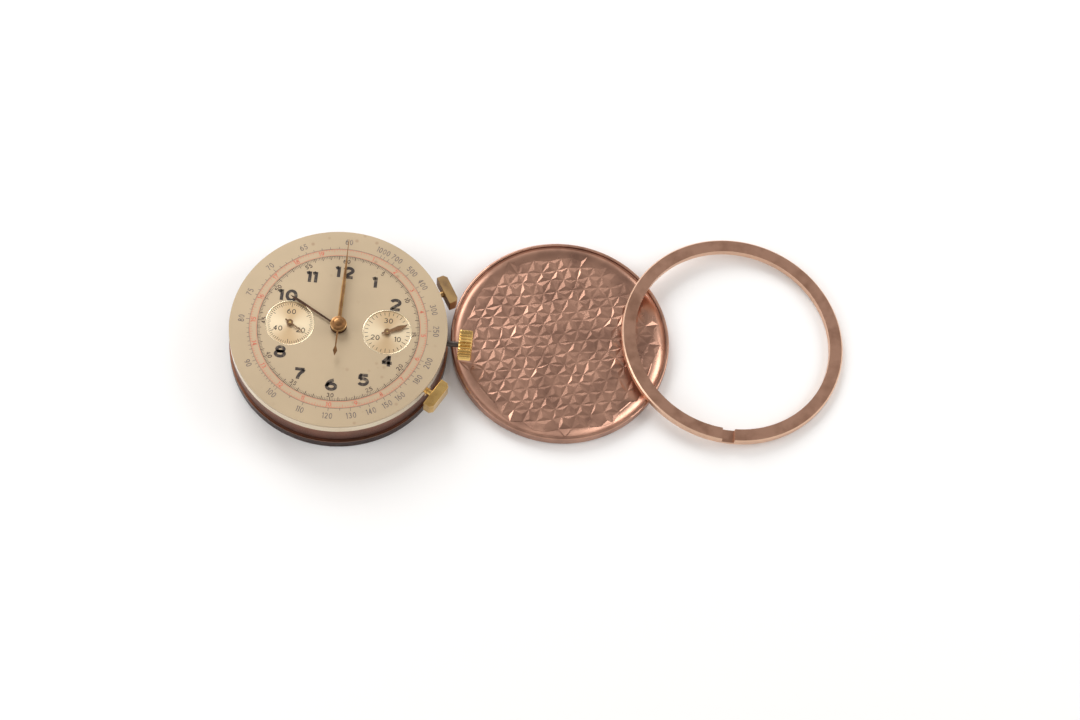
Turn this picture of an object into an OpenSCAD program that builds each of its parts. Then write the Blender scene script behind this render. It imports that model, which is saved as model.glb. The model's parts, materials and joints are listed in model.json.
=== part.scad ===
// Hand-wound two-register chronograph watch, opened for repair and laid out on the bench.
// The head lies dial up with its case band, crown and pushers. Beside it lie the dished dust
// cover, inside up, and the casing ring, which leans on the cover's rim.
// Origin: on the head's axis at the bench. +X is 3 o'clock, +Y is 12 o'clock, +Z is up.
// Inside the head, depths are measured downwards from the dial's seat.

/* [Dial] */
// Diameter of the dial
dial_d = 34; // [33:0.1:34.4]
// Thickness of the dial
dial_t = 0.4; // [0.3:0.05:0.6]
// Distance from the dial's centre to each small dial's centre
register_x = 7.6; // [7.5:0.05:7.7]
// Diameter of each small dial
register_d = 7.5; // [6:0.1:8]
// Depth of each small dial below the dial's face
register_sink = 0.12; // [0.05:0.01:0.2]

/* [Case band] */
// Outer diameter of the band's wall
band_d = 33.8; // [33:0.1:34.2]
// Height of the band above the bench
band_h = 5.2; // [5.2:0.1:6.5]
// Outer diameter of the foot flange
flange_d = 34.4; // [34:0.1:34.8]
// Height of the foot flange
flange_h = 1.7; // [1:0.1:2]
// Radial gap between the movement and the band
casing_gap = 0.1; // [0.05:0.05:0.2]
// Outer diameter of the polished ring under the dial
dial_ring_d = 34; // [33:0.1:34.4]
// Height of the polished ring under the dial
dial_ring_h = 1.4; // [1.4:0.1:2]

/* [Crown] */
// Diameter of the crown
crown_d = 4.8; // [3.5:0.1:6]
// Length of the crown
crown_l = 2.2; // [1.5:0.1:3]
// Gap between the band's wall and the crown
crown_gap = 1.9; // [1:0.1:2.5]
// Number of ridges round the crown
crown_ridges = 30; // [20:1:36]
// Diameter of the winding stem
stem_d = 0.9; // [0.8:0.05:1]

/* [Pushers] */
// Angle of each pusher above and below 3 o'clock
pusher_angle = 29.5; // [28:0.5:31]
// Width of a pusher's cap along the band
pusher_w = 5; // [3:0.1:6]
// Height of a pusher's cap
pusher_h = 2.4; // [1.8:0.1:2.8]
// Length of a pusher's cap away from the band
pusher_l = 1.6; // [1:0.1:2.5]
// Gap between the band's wall and a pusher's cap
pusher_gap = 1; // [0.9:0.05:1.5]
// Diameter of a pusher's stem
pusher_stem_d = 1; // [0.8:0.05:1.1]
// Wall of a pusher's tube
tube_wall = 0.3; // [0.2:0.05:0.35]

/* [Dust cover] */
// Outer diameter of the dust cover
cover_d = 34.8; // [33:0.1:35]
// Height of the dust cover's rim
cover_h = 1.8; // [1.5:0.1:2.4]
// Thickness of the dust cover's metal
cover_t = 0.45; // [0.3:0.05:0.6]
// Distance of the dust cover's centre to the right of the head
cover_x = 34.8; // [34.8:0.1:37]
// Distance of the dust cover's centre above the head's centre line
cover_y = 4.3; // [3:0.1:6]

/* [Casing ring] */
// Outer diameter of the casing ring
ring_d = 35.8; // [34:0.1:38]
// Bore of the casing ring
ring_bore_d = 31.6; // [29:0.1:32.4]
// Thickness of the casing ring
ring_t = 1.1; // [0.8:0.05:1.6]
// Distance of the ring's centre to the right of the head
ring_x = 62.2; // [61:0.1:64]
// Distance of the ring's centre above the head's centre line
ring_y = 7.2; // [5:0.1:9]
// Width of the key groove across the ring
groove_w = 1.95; // [1:0.05:3]
// Depth of the key groove
groove_sink = 0.65; // [0.3:0.05:0.7]

/* [Movement] */
// Diameter of the movement, 13 3/4 lignes
movement_d = 31; // [30.9:0.05:31.1]
// Thickness of the mainplate
plate_t = 2.2; // [2.2:0.05:2.3]
// Thickness of the barrel bridge and the train bridge
bridge_t = 0.8; // [0.6:0.05:0.8]
// Distance from the centre arbor to the barrel
barrel_reach = 6.24; // [6.2:0.02:6.3]
// Diameter of the balance wheel
balance_d = 9; // [8:0.1:9.1]
// Number of barrel teeth
barrel_teeth = 84; // [78:1:90]
// Number of centre wheel teeth
centre_teeth = 80; // [75:1:84]
// Number of third wheel teeth
third_teeth = 75; // [70:1:80]
// Number of fourth wheel teeth
fourth_teeth = 80; // [75:1:84]

/* [Fits] */
// Radial clearance of a pivot, post or tube that turns or slides
running = 0.03; // [0.02:0.005:0.04]
// Gap between the casing ring and the rim that it leans on
lean_gap = 0.03; // [0.02:0.01:0.1]

/* [Hidden] */
$fn = 64;
over = 0.05; // how far a cut runs past the face it opens

// Heights above the bench
seat_z = band_h + dial_ring_h;
face_z = seat_z + dial_t;
stem_depth = 1.5;
pusher_depth = 1.9;

// Depths below the dial's seat
works_floor = 0.8; // floor of the pockets under the dial
barrel_roof = 1.2; // top of the barrel's pocket in the mainplate
wind_top = 2.84; // winding wheels
wind_bottom = 3.18;
bridge_top = 3.6;
bridge_bottom = bridge_top + bridge_t;
record_top = 4.65; // minute recorder, its transfer wheel and the runner's finger
record_bottom = 4.8;
chrono_top = 4.95; // chronograph runner, driving wheel and coupling wheel
chrono_bottom = 5.15;
lever_top = 5.25; // hearts, hammer, operating lever and cam
lever_bottom = 5.6;
cover_bridge_top = 5.7; // chronograph bridge
cover_bridge_bottom = 6.2;
roof = 0.3; // thickness of a jewel

// Heights of the undersides of the three centre hands
hour_hand_z = face_z + 0.36;
minute_hand_z = face_z + 0.78;
chrono_hand_z = face_z + 1.38;

function polar(r, a) = [r * cos(a), r * sin(a)];
function way(p, q) = atan2(q.y - p.y, q.x - p.x);
// The point at distance a from p and b from q, on the left of the way from p to q when side is 1
function corner(p, q, a, b, side) =
    let (d = norm(q - p), u = (q - p) / d, x = (a * a - b * b + d * d) / (2 * d))
    p + x * u + side * sqrt(a * a - x * x) * [-u.y, u.x];
function module_of(p, q, teeth) = 2 * norm(q - p) / teeth;

// Arbors of the going train
centre = [0, 0];
barrel_at = polar(barrel_reach, 55);
centre_leaves = 12;
barrel_m = module_of(centre, barrel_at, barrel_teeth + centre_leaves);
third_at = polar(5.175, 214.8);
third_leaves = 10;
centre_m = module_of(centre, third_at, centre_teeth + third_leaves);
fourth_at = [-register_x, 0];
fourth_leaves = 10;
third_m = module_of(third_at, fourth_at, third_teeth + fourth_leaves);
escape_at = fourth_at + polar(3.96, 229.9);
escape_leaves = 8;
fourth_m = module_of(fourth_at, escape_at, fourth_teeth + escape_leaves);
escape_r = 2.2;
escape_teeth = 15;
pallet_line = -60; // direction from the escape wheel through the pallet arbor to the balance
pallet_reach = 3.2;
pallet_at = escape_at + polar(2.6, pallet_line);
balance_at = pallet_at + polar(pallet_reach, pallet_line);
balance_r = balance_d / 2;
pivot_r = 0.12;
hole_r = pivot_r + running;
jewel_r = 0.45;

// Winding train
wind_m = 0.2;
ratchet_teeth = 44;
idler_teeth = 16;
crown_wheel_teeth = 23;
winding_leaves = 13;
crown_wheel_at = [10.6, 0];
idler_at = corner(crown_wheel_at, barrel_at, wind_m * (crown_wheel_teeth + idler_teeth) / 2,
    wind_m * (idler_teeth + ratchet_teeth) / 2, -1);
ratchet_r = wind_m * ratchet_teeth / 2 + 0.8 * wind_m;
click_at = barrel_at + polar(5.6, 20);
click_nose = barrel_at + polar(ratchet_r + 0.14, 30);

// Motion works and setting wheels
motion_m = 0.11;
cannon_leaves = 12;
minute_wheel_teeth = 36;
minute_wheel_at = polar(motion_m * (cannon_leaves + minute_wheel_teeth) / 2, -60);
minute_leaves = 10;
hour_wheel_teeth = 40;
hour_m = module_of(centre, minute_wheel_at, minute_leaves + hour_wheel_teeth);
transfer_teeth = 44;
setting_teeth = 16;
transfer_at = minute_wheel_at + polar(motion_m * (minute_wheel_teeth + transfer_teeth) / 2, -13.3);
setting_at = transfer_at + polar(motion_m * (transfer_teeth + setting_teeth) / 2, 34.8);

// Keyless works along the stem, from the movement's middle outwards
pilot_x = 8.35;
pilot_r = 0.3;
square_x = 9.4;
square_r = 0.42;
hub_x = 12.3;
hub_r = 0.6;
key_groove_x = 14.15;
key_groove_w = 0.5;
key_groove_r = 0.35;
hub_end_x = 15.3;
clutch_x = 10.1;
clutch_l = 2.1;
clutch_r = 1.1;
clutch_groove_x = 10.9;
clutch_groove_w = 0.4;
winding_x = 12.45;
winding_l = 0.6;
lever_pin = [key_groove_x + key_groove_w / 2, 0];
setting_lever_at = [14.2, 2.4];
yoke_at = [9.2, 4.6];
yoke_elbow = [clutch_groove_x + clutch_groove_w / 2, 2.2];
stem_r = stem_d / 2;
wall_r = band_d / 2;
bore_r = movement_d / 2 + casing_gap;
crown_x = wall_r + crown_gap;

// Chronograph works
recorder_at = [register_x, 0];
runner_m = 0.1;
runner_teeth = 84;
driving_teeth = 40;
coupling_teeth = 28;
clutch_open = 0.25; // gap that the clutch holds between the coupling wheel and the runner
coupling_at = corner(fourth_at, centre, runner_m * (driving_teeth + coupling_teeth) / 2,
    runner_m * (coupling_teeth + runner_teeth) / 2 + clutch_open, 1);
recorder_m = 0.12;
recorder_teeth = 30;
recorder_transfer_teeth = 20;
recorder_transfer_at = recorder_at
    + polar(recorder_m * (recorder_teeth + recorder_transfer_teeth) / 2, 217);
finger_r = norm(recorder_transfer_at) - recorder_m * recorder_transfer_teeth / 2 + 0.05;
long_arbor_r = 0.15;
tab_reach = 13.1;
start_tab = polar(tab_reach, pusher_angle);
reset_tab = polar(tab_reach, -pusher_angle);
tab_t = 0.4;
tab_w = 1.2;
operating_at = [7.2, 11.2];
cam_at = [-1.2, 9];
hammer_at = [5.5, -11.5];
jumper_at = [11.6, 3.6];
clutch_tail = [-3, 7.5];
bridge_foot = [0, 6.2];
bridge_end = [12.6, -1.8];
cock_foot = [-12.9, -6.4];
pallet_foot = [-11.2, -7.6];

// Laid-out pieces
cover_r = cover_d / 2;
ring_r = ring_d / 2;
ring_bore_r = ring_bore_d / 2;
ring_tilt = atan((cover_h + lean_gap) / (ring_x + ring_r - cover_x - cover_r));

// A flat piece between two depths under the dial's seat
module layer(top, bottom) translate([0, 0, seat_z - bottom]) linear_extrude(bottom - top) children();
module post(at, r, top, bottom) layer(top, bottom) translate(at) circle(r);
// A straight bar with round ends, its sides a hair inside them so that they cross cleanly
module bar(p, q, w) {
    side = w - 0.02;
    translate(p) circle(d = w);
    translate(q) circle(d = w);
    translate(p) rotate(way(p, q)) translate([0, -side / 2]) square([norm(q - p), side]);
}
module ring(outer, inner) difference() { circle(outer); circle(inner); }
// A sector of a ring between two angles, less than half a turn
module arc(outer, inner, from, to) intersection() {
    ring(outer, inner);
    polygon([[0, 0], polar(2 * outer, from), polar(2.4 * outer, (from + to) / 2), polar(2 * outer, to)]);
}
function gear_points(teeth, m, phase) = [
    for (i = [0 : teeth - 1]) each
    let (step = 360 / teeth, a = (i + phase) * step, r = teeth * m / 2)
    [polar(r - 1.1 * m, a - 0.3 * step), polar(r + 0.8 * m, a - 0.13 * step),
     polar(r + 0.8 * m, a + 0.13 * step), polar(r - 1.1 * m, a + 0.3 * step)]];
// phase turns the wheel by that share of a tooth
module gear(teeth, m, phase = 0) polygon(gear_points(teeth, m, phase));
// A gear with a rim, a hub and straight spokes
module spoked(teeth, m, hub, spokes, phase = 0) difference() {
    gear(teeth, m, phase);
    difference() {
        circle(teeth * m / 2 - 4.2 * m);
        circle(hub);
        for (i = [0 : spokes - 1]) rotate(i * 360 / spokes) translate([0, -0.17])
            square([teeth * m, 0.34]);
    }
}
// A flat spiral strip, wound inwards from r_out to r_in
function spiral(r_out, r_in, turns, w, steps = 20) =
    let (n = round(turns * steps))
    concat([for (i = [0 : n]) polar(r_out - (r_out - r_in) * i / n, 360 * i / steps)],
        [for (i = [n : -1 : 0]) polar(r_out - w - (r_out - r_in) * i / n, 360 * i / steps)]);
// Phases: which share of a tooth turns a wheel's tooth, or its gap, towards a direction
function gap_towards(teeth, a) = 0.5 + a * teeth / 360;
function tooth_towards(teeth, a) = a * teeth / 360;
// Phase of the wheel at q that meshes it with the wheel at p
function mesh_phase(p, teeth_p, phase_p, q, teeth_q) =
    way(p, q) * teeth_p / 360 - phase_p + way(q, p) * teeth_q / 360 - 0.5;
crown_phase = 0.5;
idler_phase = mesh_phase(crown_wheel_at, crown_wheel_teeth, crown_phase, idler_at, idler_teeth);
ratchet_phase = mesh_phase(idler_at, idler_teeth, idler_phase, barrel_at, ratchet_teeth);
minute_wheel_phase = tooth_towards(minute_wheel_teeth, 120);
transfer_phase = mesh_phase(minute_wheel_at, minute_wheel_teeth, minute_wheel_phase, transfer_at,
    transfer_teeth);
setting_phase = mesh_phase(transfer_at, transfer_teeth, transfer_phase, setting_at, setting_teeth);
// A turned piece along the stem: steps is a list of [start, end, radius]
module along_stem(steps) translate([0, 0, seat_z - stem_depth]) rotate([0, 90, 0])
    for (s = steps) translate([0, 0, s[0]]) cylinder(r = s[2], h = s[1] - s[0]);
module pusher_frame(side) translate([0, 0, seat_z - pusher_depth]) rotate(side * pusher_angle) children();
module pusher_holes(r) for (side = [-1, 1]) pusher_frame(side) rotate([0, 90, 0])
    cylinder(r = r, h = dial_d);

// ---- Head: band, dial and plates ----
module case_band() color([0.62, 0.38, 0.27]) difference() {
    union() {
        cylinder(r = flange_d / 2, h = flange_h);
        cylinder(r = wall_r, h = band_h);
    }
    translate([0, 0, -over]) cylinder(r = bore_r, h = band_h + 2 * over);
    along_stem([[0, dial_d, hub_r + running]]);
    pusher_holes(pusher_stem_d / 2 + running + tube_wall);
}
module dial_ring() color([0.9, 0.86, 0.76]) difference() {
    translate([0, 0, band_h]) linear_extrude(dial_ring_h) ring(dial_ring_d / 2, bore_r);
    along_stem([[0, dial_d, hub_r + running]]);
    pusher_holes(pusher_stem_d / 2 + running + tube_wall);
}
module dial() color([0.84, 0.72, 0.56]) difference() {
    translate([0, 0, seat_z]) cylinder(r = dial_d / 2, h = dial_t, $fn = 128);
    translate([0, 0, seat_z - over]) cylinder(r = 1.1, h = dial_t + 2 * over);
    for (x = [-register_x, register_x]) {
        translate([x, 0, face_z - register_sink]) cylinder(d = register_d, h = dial_t);
        translate([x, 0, seat_z - over]) cylinder(r = 0.25, h = dial_t);
    }
}

// Notches that let the pushers reach down to the chronograph levers
module tab_notches(inner) for (a = [-pusher_angle, pusher_angle]) rotate(a)
    translate([inner, -1.2]) square([dial_d, 2.4]);
plate_screws = [[-3.4, 13.4], [8.4, 10.7], [7.8, -12.2], [-13.4, 1.6], [-0.4, -11.6]];

module mainplate() color([0.78, 0.72, 0.58]) {
    difference() {
        layer(0, plate_t) circle(movement_d / 2, $fn = 128);
        layer(-over, works_floor) works_pocket();
        layer(barrel_roof, plate_t + over) {
            translate(barrel_at) circle(barrel_m * barrel_teeth / 2 + 0.25);
            circle(1.1);
        }
        layer(barrel_roof + 0.05, plate_t + over) tab_notches(11.6);
        layer(-over, plate_t + over) translate([square_x - 0.05, -1.6]) square([3.95, 3.2]);
        along_stem([[pilot_x - 0.15, square_x + 1, pilot_r + running], [13, dial_d, hub_r + running]]);
        layer(works_floor - over, stem_depth) bar(lever_pin, lever_pin + [1.6, 0.3], 0.62);
        post(centre, 0.42 + running, -over, plate_t);
        post(barrel_at, 0.5 + running, barrel_roof - 0.3, plate_t);
        for (p = [fourth_at, recorder_at]) post(p, 0.2 + running, -over, plate_t + over);
        for (p = [third_at, escape_at]) post(p, jewel_r, plate_t - roof, plate_t + over);
        for (p = [pallet_at, balance_at]) post(p, jewel_r, plate_t - roof, plate_t + over);
        for (p = plate_screws) post(p, 0.35, plate_t - 1.2, plate_t + over);
        for (p = [cock_foot, pallet_foot]) post(p, 0.25, plate_t - 1.2, plate_t + over);
    }
    for (p = [minute_wheel_at, transfer_at, setting_at]) post(p, 0.2, 0.1, works_floor);
    for (p = [setting_lever_at, yoke_at]) post(p, 0.3, 0.15, works_floor);
}
module works_pocket() {
    circle(2.45);
    translate(minute_wheel_at) circle(motion_m * minute_wheel_teeth / 2 + 0.3);
    translate(transfer_at) circle(motion_m * transfer_teeth / 2 + 0.25);
    translate(setting_at) circle(motion_m * setting_teeth / 2 + 0.3);
    bar([11.1, 0], [11.1, 2.2], 2.6);
    bar([11.1, 2.2], yoke_at, 2);
    bar([14.75, 0], setting_lever_at, 2);
    bar([12.3, 2.9], setting_lever_at, 2);
}

// The line that parts the barrel bridge from the train bridge
module barrel_side() polygon([[-17, 2.7], [-3.2, 2.7], [-1.7, -1.6], [2.3, -4.3], [2.3, -17],
    [17, -17], [17, 17], [-17, 17]]);
module train_side() polygon([[-17, 2.5], [-3.3, 2.5], [-1.85, -1.75], [2.1, -4.4], [2.1, -17], [-17, -17]]);
module bridge_outline() circle(movement_d / 2 - 0.3, $fn = 96);
module barrel_bridge() color([0.8, 0.74, 0.6]) {
    difference() {
        union() {
            layer(bridge_top, bridge_bottom) intersection() {
                bridge_outline();
                barrel_side();
            }
            layer(plate_t, bridge_top) {
                arc(movement_d / 2 - 0.3, 12.9, 47, 57);
                arc(movement_d / 2 - 0.3, 12.6, 96, 150);
                intersection() {
                    bridge_outline();
                    polygon([[3, -7], [8, -7], [9.5, -9.5], [9.5, -16], [3, -16]]);
                }
            }
            post(operating_at, 0.45, bridge_bottom, lever_bottom + 0.05);
            post(hammer_at, 0.45, bridge_bottom, lever_bottom + 0.05);
            post(cam_at, 0.4, bridge_bottom, lever_bottom + 0.05);
            post(jumper_at, 0.3, bridge_bottom, record_bottom + 0.05);
            post(recorder_transfer_at, 0.25, bridge_bottom, record_bottom + 0.05);
            post(crown_wheel_at, 0.5, wind_top - 0.05, bridge_top);
            post(idler_at, 0.5, wind_top - 0.05, bridge_top);
            post(click_at, 0.3, wind_top - 0.05, bridge_top);
        }
        layer(bridge_top - over, bridge_bottom + over) tab_notches(11.6);
        post(centre, 0.42 + running, bridge_top - over, bridge_bottom + over);
        post(recorder_at, 0.35, bridge_top - over, bridge_bottom + over);
        post(barrel_at, 0.5 + running, bridge_top - over, bridge_bottom - 0.2);
        bridge_screw_holes([for (i = [0 : 2]) plate_screws[i]]);
        for (p = [bridge_foot, bridge_end]) post(p, 0.25, bridge_top - over, bridge_bottom + over);
    }
}
module bridge_screw_holes(places) for (p = places) {
    post(p, 0.35, plate_t - over, bridge_bottom + over);
    post(p, 0.75, bridge_bottom - 0.3, bridge_bottom + over);
}
module train_bridge() color([0.8, 0.74, 0.6]) difference() {
    union() {
        layer(bridge_top, bridge_bottom) difference() {
            intersection() {
                bridge_outline();
                train_side();
            }
            translate(balance_at) circle(4.9);
            translate(cock_foot) circle(1.3);
            bar(pallet_foot, 1.3 * pallet_foot, 2.5);
        }
        layer(plate_t, bridge_top) {
            arc(movement_d / 2 - 0.3, 12.4, 172, 186);
            intersection() {
                bridge_outline();
                polygon([[-2, -9], [1.9, -8], [1.9, -16], [-2, -16]]);
            }
        }
        // Boss that the coupling clutch turns on
        post(fourth_at, 0.7, bridge_bottom, record_bottom + 0.05);
    }
    post(fourth_at, 0.2 + running, bridge_top - over, chrono_top);
    for (p = [third_at, escape_at]) post(p, jewel_r, bridge_top - over, bridge_bottom + over);
    bridge_screw_holes([for (i = [3 : 4]) plate_screws[i]]);
}
module pallet_cock() color([0.8, 0.74, 0.6]) difference() {
    union() {
        layer(3.3, 3.7) bar(pallet_at, pallet_foot, 1.3);
        post(pallet_foot, 0.65, plate_t, 3.5);
    }
    post(pallet_at, jewel_r, 3.2, 3.8);
    post(pallet_foot, 0.25, plate_t - over, 3.8);
}
module balance_cock() color([0.8, 0.74, 0.6]) difference() {
    union() {
        layer(cover_bridge_top - 0.1, cover_bridge_bottom) {
            bar(balance_at, cock_foot, 2.2);
            translate(balance_at) circle(1.5);
        }
        post(cock_foot, 1.1, plate_t, cover_bridge_top);
    }
    post(balance_at, jewel_r, cover_bridge_top - 0.2, cover_bridge_bottom + over);
    post(cock_foot, 0.25, plate_t - over, cover_bridge_bottom + over);
    // Keeps the screw's head level with the cock
    post(cock_foot, 0.75, cover_bridge_bottom - 0.3, cover_bridge_bottom + over);
}
module chronograph_bridge() color([0.8, 0.74, 0.6]) difference() {
    union() {
        layer(cover_bridge_top, cover_bridge_bottom) {
            bar(bridge_foot, centre, 1.8);
            bar(centre, recorder_at, 1.8);
            bar(recorder_at, bridge_end, 1.8);
        }
        for (p = [bridge_foot, bridge_end]) post(p, 0.8, bridge_bottom, cover_bridge_top + 0.1);
    }
    for (p = [centre, recorder_at]) post(p, jewel_r, cover_bridge_top - over, cover_bridge_bottom + over);
    for (p = [bridge_foot, bridge_end]) {
        post(p, 0.25, bridge_bottom - over, cover_bridge_bottom + over);
        post(p, 0.75, cover_bridge_bottom - 0.3, cover_bridge_bottom + over);
    }
}
// A slotted screw whose head's outer face lies at a depth
module screw(p, head_r, shank_r, face, tip) difference() {
    union() {
        post(p, head_r, face - 0.28, face);
        post(p, shank_r, tip, face - 0.2);
    }
    layer(face - 0.12, face + over) translate(p) rotate(25) square([3, 0.18], center = true);
}
module screws() color([0.45, 0.47, 0.52]) {
    for (p = plate_screws) screw(p, 0.72, 0.33, bridge_bottom, plate_t - 1.1);
    for (p = [bridge_foot, bridge_end]) screw(p, 0.72, 0.23, cover_bridge_bottom, bridge_top + 0.1);
    screw(cock_foot, 0.72, 0.23, cover_bridge_bottom, plate_t - 1.1);
    screw(pallet_foot, 0.5, 0.23, 3.98, plate_t - 1.1);
}
// A ring jewel between two depths
module jewel(p, r, top, bottom) layer(top, bottom) translate(p) ring(jewel_r, r);
module jewels() color([0.75, 0.12, 0.25]) {
    for (p = [third_at, escape_at]) {
        jewel(p, hole_r, plate_t - roof, plate_t);
        jewel(p, hole_r, bridge_top, bridge_top + roof);
    }
    jewel(pallet_at, hole_r, plate_t - roof, plate_t);
    jewel(pallet_at, hole_r, 3.3, 3.6);
    jewel(balance_at, hole_r, plate_t - roof, plate_t);
    jewel(balance_at, hole_r, cover_bridge_top, cover_bridge_top + roof);
    for (p = [centre, recorder_at])
        jewel(p, long_arbor_r + running, cover_bridge_top, cover_bridge_top + roof);
}
// Blade springs: for the click, for the operating lever and for the hammer
module flat_springs() color([0.5, 0.52, 0.56]) {
    layer(wind_top, bridge_top) translate([5.9, 11.9]) circle(0.55);
    layer(wind_top, wind_bottom) bar([5.9, 11.9], [8.9, 8.15], 0.22);
    for (s = [[[-1.9, 13.9], [4.4, 12.6]], [[3.9, -13.6], [2.75, -7.8]]]) {
        layer(bridge_bottom, lever_bottom) translate(s[0]) circle(0.5);
        layer(lever_top, lever_bottom - 0.1) bar(s[0], s[1], 0.2);
    }
}
module pusher_tubes() color([0.83, 0.63, 0.33]) difference() {
    for (side = [-1, 1]) pusher_frame(side) translate([bore_r, 0, 0]) rotate([0, 90, 0])
        cylinder(r = pusher_stem_d / 2 + running + tube_wall, h = wall_r - bore_r + 0.1);
    pusher_holes(pusher_stem_d / 2 + running);
}

// ---- Barrel and winding ----
barrel_gear_r = barrel_m * barrel_teeth / 2;
module barrel() color([0.8, 0.68, 0.4]) difference() {
    union() {
        layer(1.3, 1.6) translate(barrel_at)
            gear(barrel_teeth, barrel_m, tooth_towards(barrel_teeth, 55 + 180));
        post(barrel_at, barrel_gear_r - 0.45, 1.3, 2.45);
    }
    post(barrel_at, barrel_gear_r - 0.65, 1.45, 2.3);
    post(barrel_at, 0.6 + running, 1.2, 2.5);
}
module mainspring() color([0.55, 0.58, 0.64]) layer(1.5, 2.25) translate(barrel_at)
    polygon(spiral(barrel_gear_r - 0.75, 1.1, 7, 0.12, 24));
module barrel_arbor() color([0.5, 0.5, 0.52]) {
    post(barrel_at, 0.6, barrel_roof + 0.05, bridge_top - 0.05);
    post(barrel_at, 0.5, barrel_roof - 0.2, bridge_bottom - 0.3);
}
module ratchet_wheel() color([0.72, 0.7, 0.64]) layer(wind_top, wind_bottom) translate(barrel_at)
    difference() {
        gear(ratchet_teeth, wind_m, ratchet_phase);
        circle(0.6);
    }
module intermediate_wheel() color([0.72, 0.7, 0.64]) layer(wind_top, wind_bottom)
    translate(idler_at) difference() {
        gear(idler_teeth, wind_m, idler_phase);
        circle(0.5 + running);
    }
module crown_wheel() color([0.72, 0.7, 0.64]) layer(wind_top, wind_bottom)
    translate(crown_wheel_at) difference() {
        gear(crown_wheel_teeth, wind_m, crown_phase);
        circle(0.5 + running);
    }
module click() color([0.5, 0.52, 0.56]) difference() {
    layer(wind_top, wind_bottom) {
        translate(click_at) circle(0.6);
        bar(click_at, click_nose, 0.26);
        bar(click_at, click_at + [0.2, 0.7], 0.4);
    }
    post(click_at, 0.3 + running, wind_top - over, wind_bottom + over);
}

// ---- Going train ----
module centre_wheel() color([0.85, 0.7, 0.38]) difference() {
    union() {
        layer(2.5, 2.65) spoked(centre_teeth, centre_m, 0.9, 4,
            tooth_towards(centre_teeth, 214.8));
        layer(1.3, 2.5) gear(centre_leaves, barrel_m, gap_towards(centre_leaves, 55));
        post(centre, 0.42, -1, bridge_bottom - 0.2);
    }
    post(centre, 0.2, -1.1, bridge_bottom);
}
module third_wheel() color([0.85, 0.7, 0.38]) {
    layer(3.1, 3.25) translate(third_at) spoked(third_teeth, third_m, 0.7, 4,
        tooth_towards(third_teeth, third_angle));
    layer(2.3, 2.75) translate(third_at)
        gear(third_leaves, centre_m, gap_towards(third_leaves, 34.8));
    post(third_at, 0.3, 2.3, 3.45);
    post(third_at, pivot_r, plate_t - 0.25, bridge_top + 0.25);
}
third_angle = way(third_at, fourth_at);
module fourth_wheel() color([0.85, 0.7, 0.38]) {
    layer(2.28, 2.42) translate(fourth_at) spoked(fourth_teeth, fourth_m, 0.7, 4,
        tooth_towards(fourth_teeth, 229.9));
    layer(2.95, 3.4) translate(fourth_at)
        gear(fourth_leaves, third_m, gap_towards(fourth_leaves, third_angle + 180));
    post(fourth_at, 0.3, 2.3, bridge_top - 0.05);
    post(fourth_at, 0.2, -0.7, 5.5);
}
module driving_wheel() color([0.85, 0.7, 0.38]) layer(chrono_top, chrono_bottom)
    translate(fourth_at) difference() {
        spoked(driving_teeth, runner_m, 0.55, 3, tooth_towards(driving_teeth, coupling_angle));
        circle(0.2);
    }
module escape_wheel() color([0.85, 0.7, 0.38]) {
    layer(2.85, 3) translate(escape_at) difference() {
        polygon([for (i = [0 : escape_teeth - 1]) each let (a = i * 360 / escape_teeth)
            [polar(1.7, a - 4), polar(escape_r, a + 5), polar(escape_r - 0.05, a + 8), polar(1.7, a + 4)]]);
        difference() {
            circle(1.5);
            circle(0.5);
            for (i = [0 : 3]) rotate(45 + i * 90) translate([0, -0.12]) square([2, 0.24]);
        }
    }
    layer(2.25, 2.5) translate(escape_at)
        gear(escape_leaves, fourth_m, gap_towards(escape_leaves, 49.9));
    post(escape_at, 0.22, 2.25, 3.5);
    post(escape_at, pivot_r, plate_t - 0.25, bridge_top + 0.25);
}
// Steel fork whose two arms reach the escape wheel and whose notch meets the roller's pin
module pallet_fork() color([0.55, 0.57, 0.62]) translate(pallet_at) rotate(pallet_line)
    translate(-pallet_at) {
        layer(2.85, 3) translate(pallet_at) difference() {
            union() {
                bar([0, 0], [pallet_reach - 0.55, 0], 0.3);
                bar([0, 0], [-0.35, 1.35], 0.34);
                bar([0, 0], [-0.35, -1.35], 0.34);
                translate([pallet_reach - 0.75, -0.32]) square([0.4, 0.64]);
            }
            translate([pallet_reach - 0.6, -0.1]) square([1, 0.2]);
        }
        post(pallet_at, 0.2, 2.3, 3.2);
        post(pallet_at, pivot_r, plate_t - 0.25, 3.55);
    }
module balance_wheel() color([0.85, 0.72, 0.42]) {
    layer(4.9, 5.3) translate(balance_at) ring(balance_r, balance_r - 0.55);
    layer(5, 5.2) translate(balance_at) {
        circle(0.6);
        rotate(20) square([balance_d - 0.8, 0.5], center = true);
    }
    for (i = [0 : 11]) post(balance_at + polar(balance_r - 0.275, i * 30), 0.2, 4.8, 4.95);
    post(balance_at, 0.22, 2.3, 5.6);
    post(balance_at, pivot_r, plate_t - 0.25, cover_bridge_top + 0.25);
    post(balance_at, 0.7, 3.2, 3.35);
    post(balance_at + polar(0.45, pallet_line + 180), 0.07, 2.85, 3.25);
}
module hairspring() color([0.35, 0.42, 0.62]) {
    layer(5.36, 5.46) translate(balance_at) polygon(spiral(2.2, 0.5, 6, 0.06, 24));
    post(balance_at + [2.16, 0], 0.12, 5.36, 5.52);
}
module regulator() color([0.6, 0.62, 0.66]) difference() {
    layer(cover_bridge_bottom, cover_bridge_bottom + 0.15) {
        translate(balance_at) circle(0.8);
        bar(balance_at, balance_at + polar(2.4, 100), 0.3);
    }
    post(balance_at, 0.35, 6, 6.5);
}

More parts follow.
